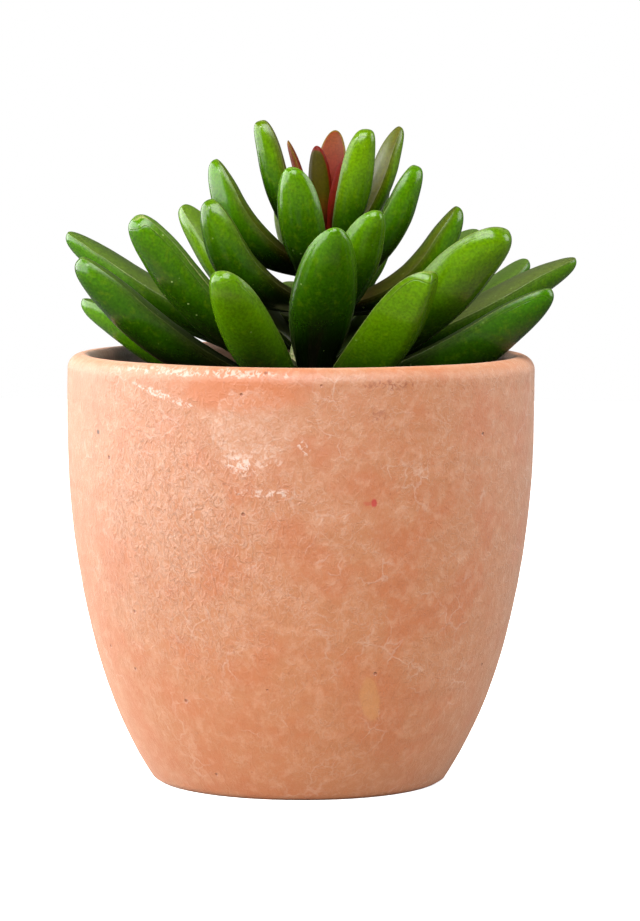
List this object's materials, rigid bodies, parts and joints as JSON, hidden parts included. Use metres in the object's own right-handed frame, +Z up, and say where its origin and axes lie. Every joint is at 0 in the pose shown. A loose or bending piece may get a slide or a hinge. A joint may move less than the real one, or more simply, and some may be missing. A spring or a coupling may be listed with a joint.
{
  "type": "potted succulent",
  "caption": "Small leafy succulent with plump pointed leaves round an upright stem, standing in soil in a plain round terracotta pot with a narrow flat foot.",
  "frame": {"origin": "centre of the pot's flat foot, on the surface that it stands on", "axes": "+Z up along the pot's axis, -Y to the front as in the picture, +X to the picture's right"},
  "size_m": [0.0993, 0.0902, 0.1271],
  "materials": {
    "terracotta": "matte",
    "potting_soil": "matte",
    "stem_skin": "satin",
    "heart_skin": "satin",
    "leaf_skin": "satin"
  },
  "bodies": {
    "root": {"pot": "terracotta", "soil": "potting_soil", "stem": "stem_skin", "heart": "heart_skin", "leaf_01": "leaf_skin", "leaf_02": "leaf_skin", "leaf_03": "leaf_skin", "leaf_04": "leaf_skin", "leaf_05": "leaf_skin", "leaf_06": "leaf_skin", "leaf_07": "leaf_skin", "leaf_08": "leaf_skin", "leaf_09": "leaf_skin", "leaf_10": "leaf_skin", "leaf_11": "leaf_skin", "leaf_12": "leaf_skin", "leaf_13": "leaf_skin", "leaf_14": "leaf_skin", "leaf_15": "leaf_skin", "leaf_16": "leaf_skin", "leaf_17": "leaf_skin", "leaf_18": "leaf_skin", "leaf_19": "leaf_skin", "leaf_20": "leaf_skin", "leaf_21": "leaf_skin", "leaf_22": "leaf_skin", "leaf_23": "leaf_skin", "leaf_24": "leaf_skin", "leaf_25": "leaf_skin", "leaf_26": "leaf_skin", "leaf_27": "leaf_skin", "leaf_28": "leaf_skin", "leaf_29": "leaf_skin", "leaf_30": "leaf_skin", "leaf_31": "leaf_skin", "leaf_32": "leaf_skin"}
  },
  "joints": []
}
